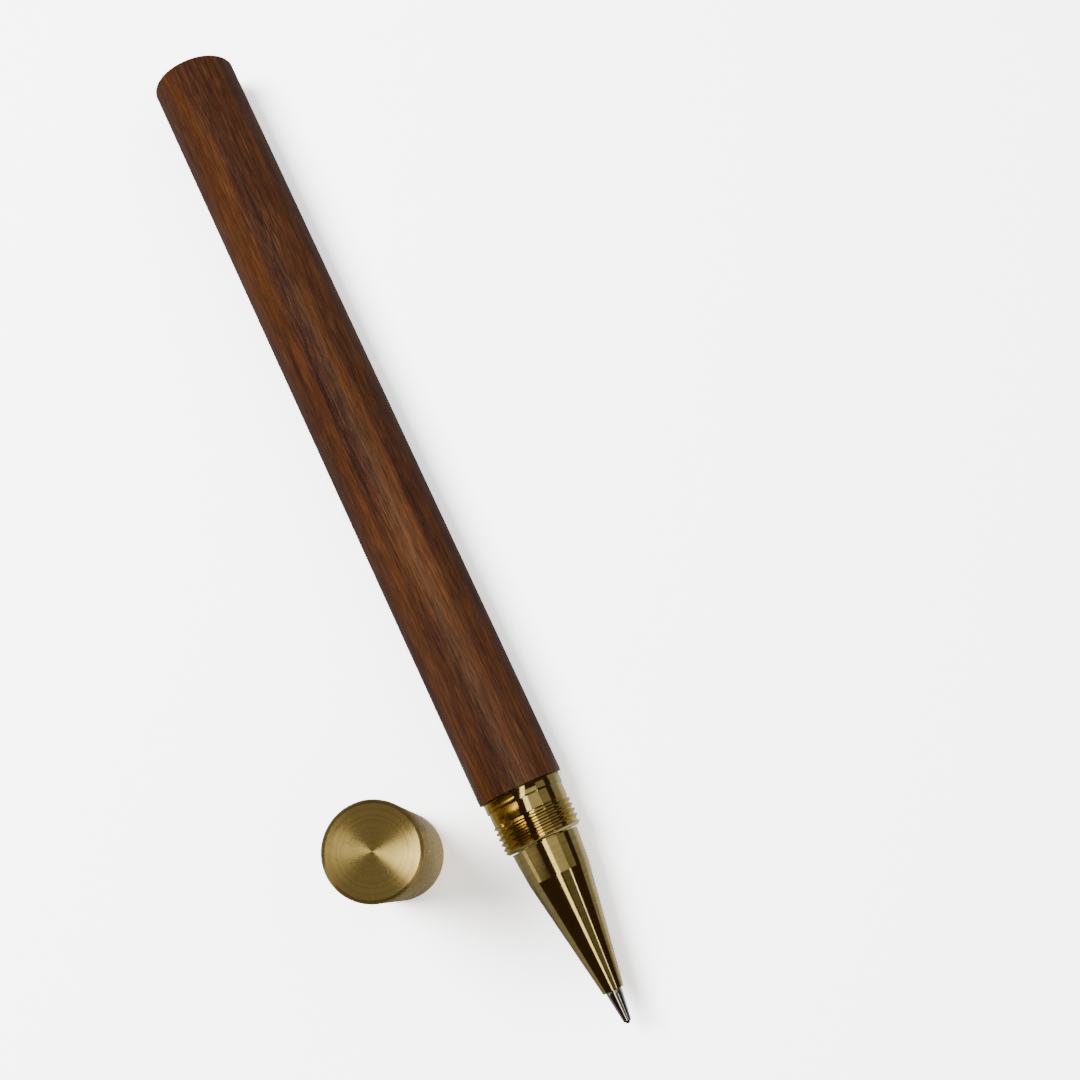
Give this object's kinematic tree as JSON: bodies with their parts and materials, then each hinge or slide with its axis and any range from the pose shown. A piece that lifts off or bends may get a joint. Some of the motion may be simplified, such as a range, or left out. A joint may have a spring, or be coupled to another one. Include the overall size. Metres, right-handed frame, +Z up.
{
  "type": "rollerball pen",
  "caption": "Rollerball pen with a straight round wooden barrel, a threaded brass collar, a conical brass nose and a plain cylindrical brass screw cap standing beside it.",
  "frame": {"origin": "middle of the bounding box of pen and cap, on the table that both stand on", "axes": "+Z up from the table, +Y along the pen from the writing tip to the far end, cap on the -X side"},
  "size_m": [0.0306, 0.146, 0.0342],
  "materials": {
    "rosewood": "oiled satin, fine dark pores along the grain",
    "polished_brass": "turned and polished to a mirror",
    "satin_brass": "fine turned satin, spun end face",
    "tube_brass": "drawn tube, dull",
    "nickel_tip": "bright nickel silver",
    "hard_ball": "ground and polished",
    "spring_steel": "bright drawn wire",
    "clear_plastic": "translucent extruded tube",
    "white_plastic": "moulded, matte",
    "black_plastic": "moulded, matte",
    "ink": "wet black ink",
    "follower_grease": "clear pale grease"
  },
  "bodies": {
    "barrel": {"barrel": "rosewood", "barrel_tube": "tube_brass", "rear_plug": "tube_brass", "refill_spring": "spring_steel", "collar": "polished_brass"},
    "refill": {"refill_tube": "clear_plastic", "tip_adapter": "white_plastic", "tip_holder": "nickel_tip", "ball_spring": "spring_steel", "ink": "ink", "ink_follower": "follower_grease", "refill_end_plug": "white_plastic"},
    "nose": {"nose_cone": "polished_brass"},
    "ball": {"writing_ball": "hard_ball"},
    "cap": {"cap": "satin_brass", "inner_cap": "black_plastic"}
  },
  "joints": [
    {"name": "refill_slide", "type": "slide", "parent": "barrel", "child": "refill", "axis": [0, -1, 0], "range_m": [0, 0.006], "deforming": ["refill_spring"]},
    {"name": "nose_unscrew", "type": "hinge", "parent": "refill", "child": "nose", "pos_m": [0.00935, -0.052, 0.0059], "axis": [0, -1, 0], "range_deg": [0, 2880]},
    {"name": "ball_roll", "type": "hinge", "parent": "refill", "child": "ball", "pos_m": [0.00935, -0.07265, 0.0059], "axis": [1, 0, 0], "continuous": true},
    {"name": "cap_carry", "type": "hinge", "parent": "barrel", "child": "cap", "pos_m": [-0.00569, -0.06885, -0.01815], "axis": [0.893, 0.3182, -0.3182], "range_deg": [0, 96.47]}
  ],
  "couplings": [
    {"joint": "nose_unscrew", "follows": "refill_slide", "rad_per_m": 8377.6}
  ]
}
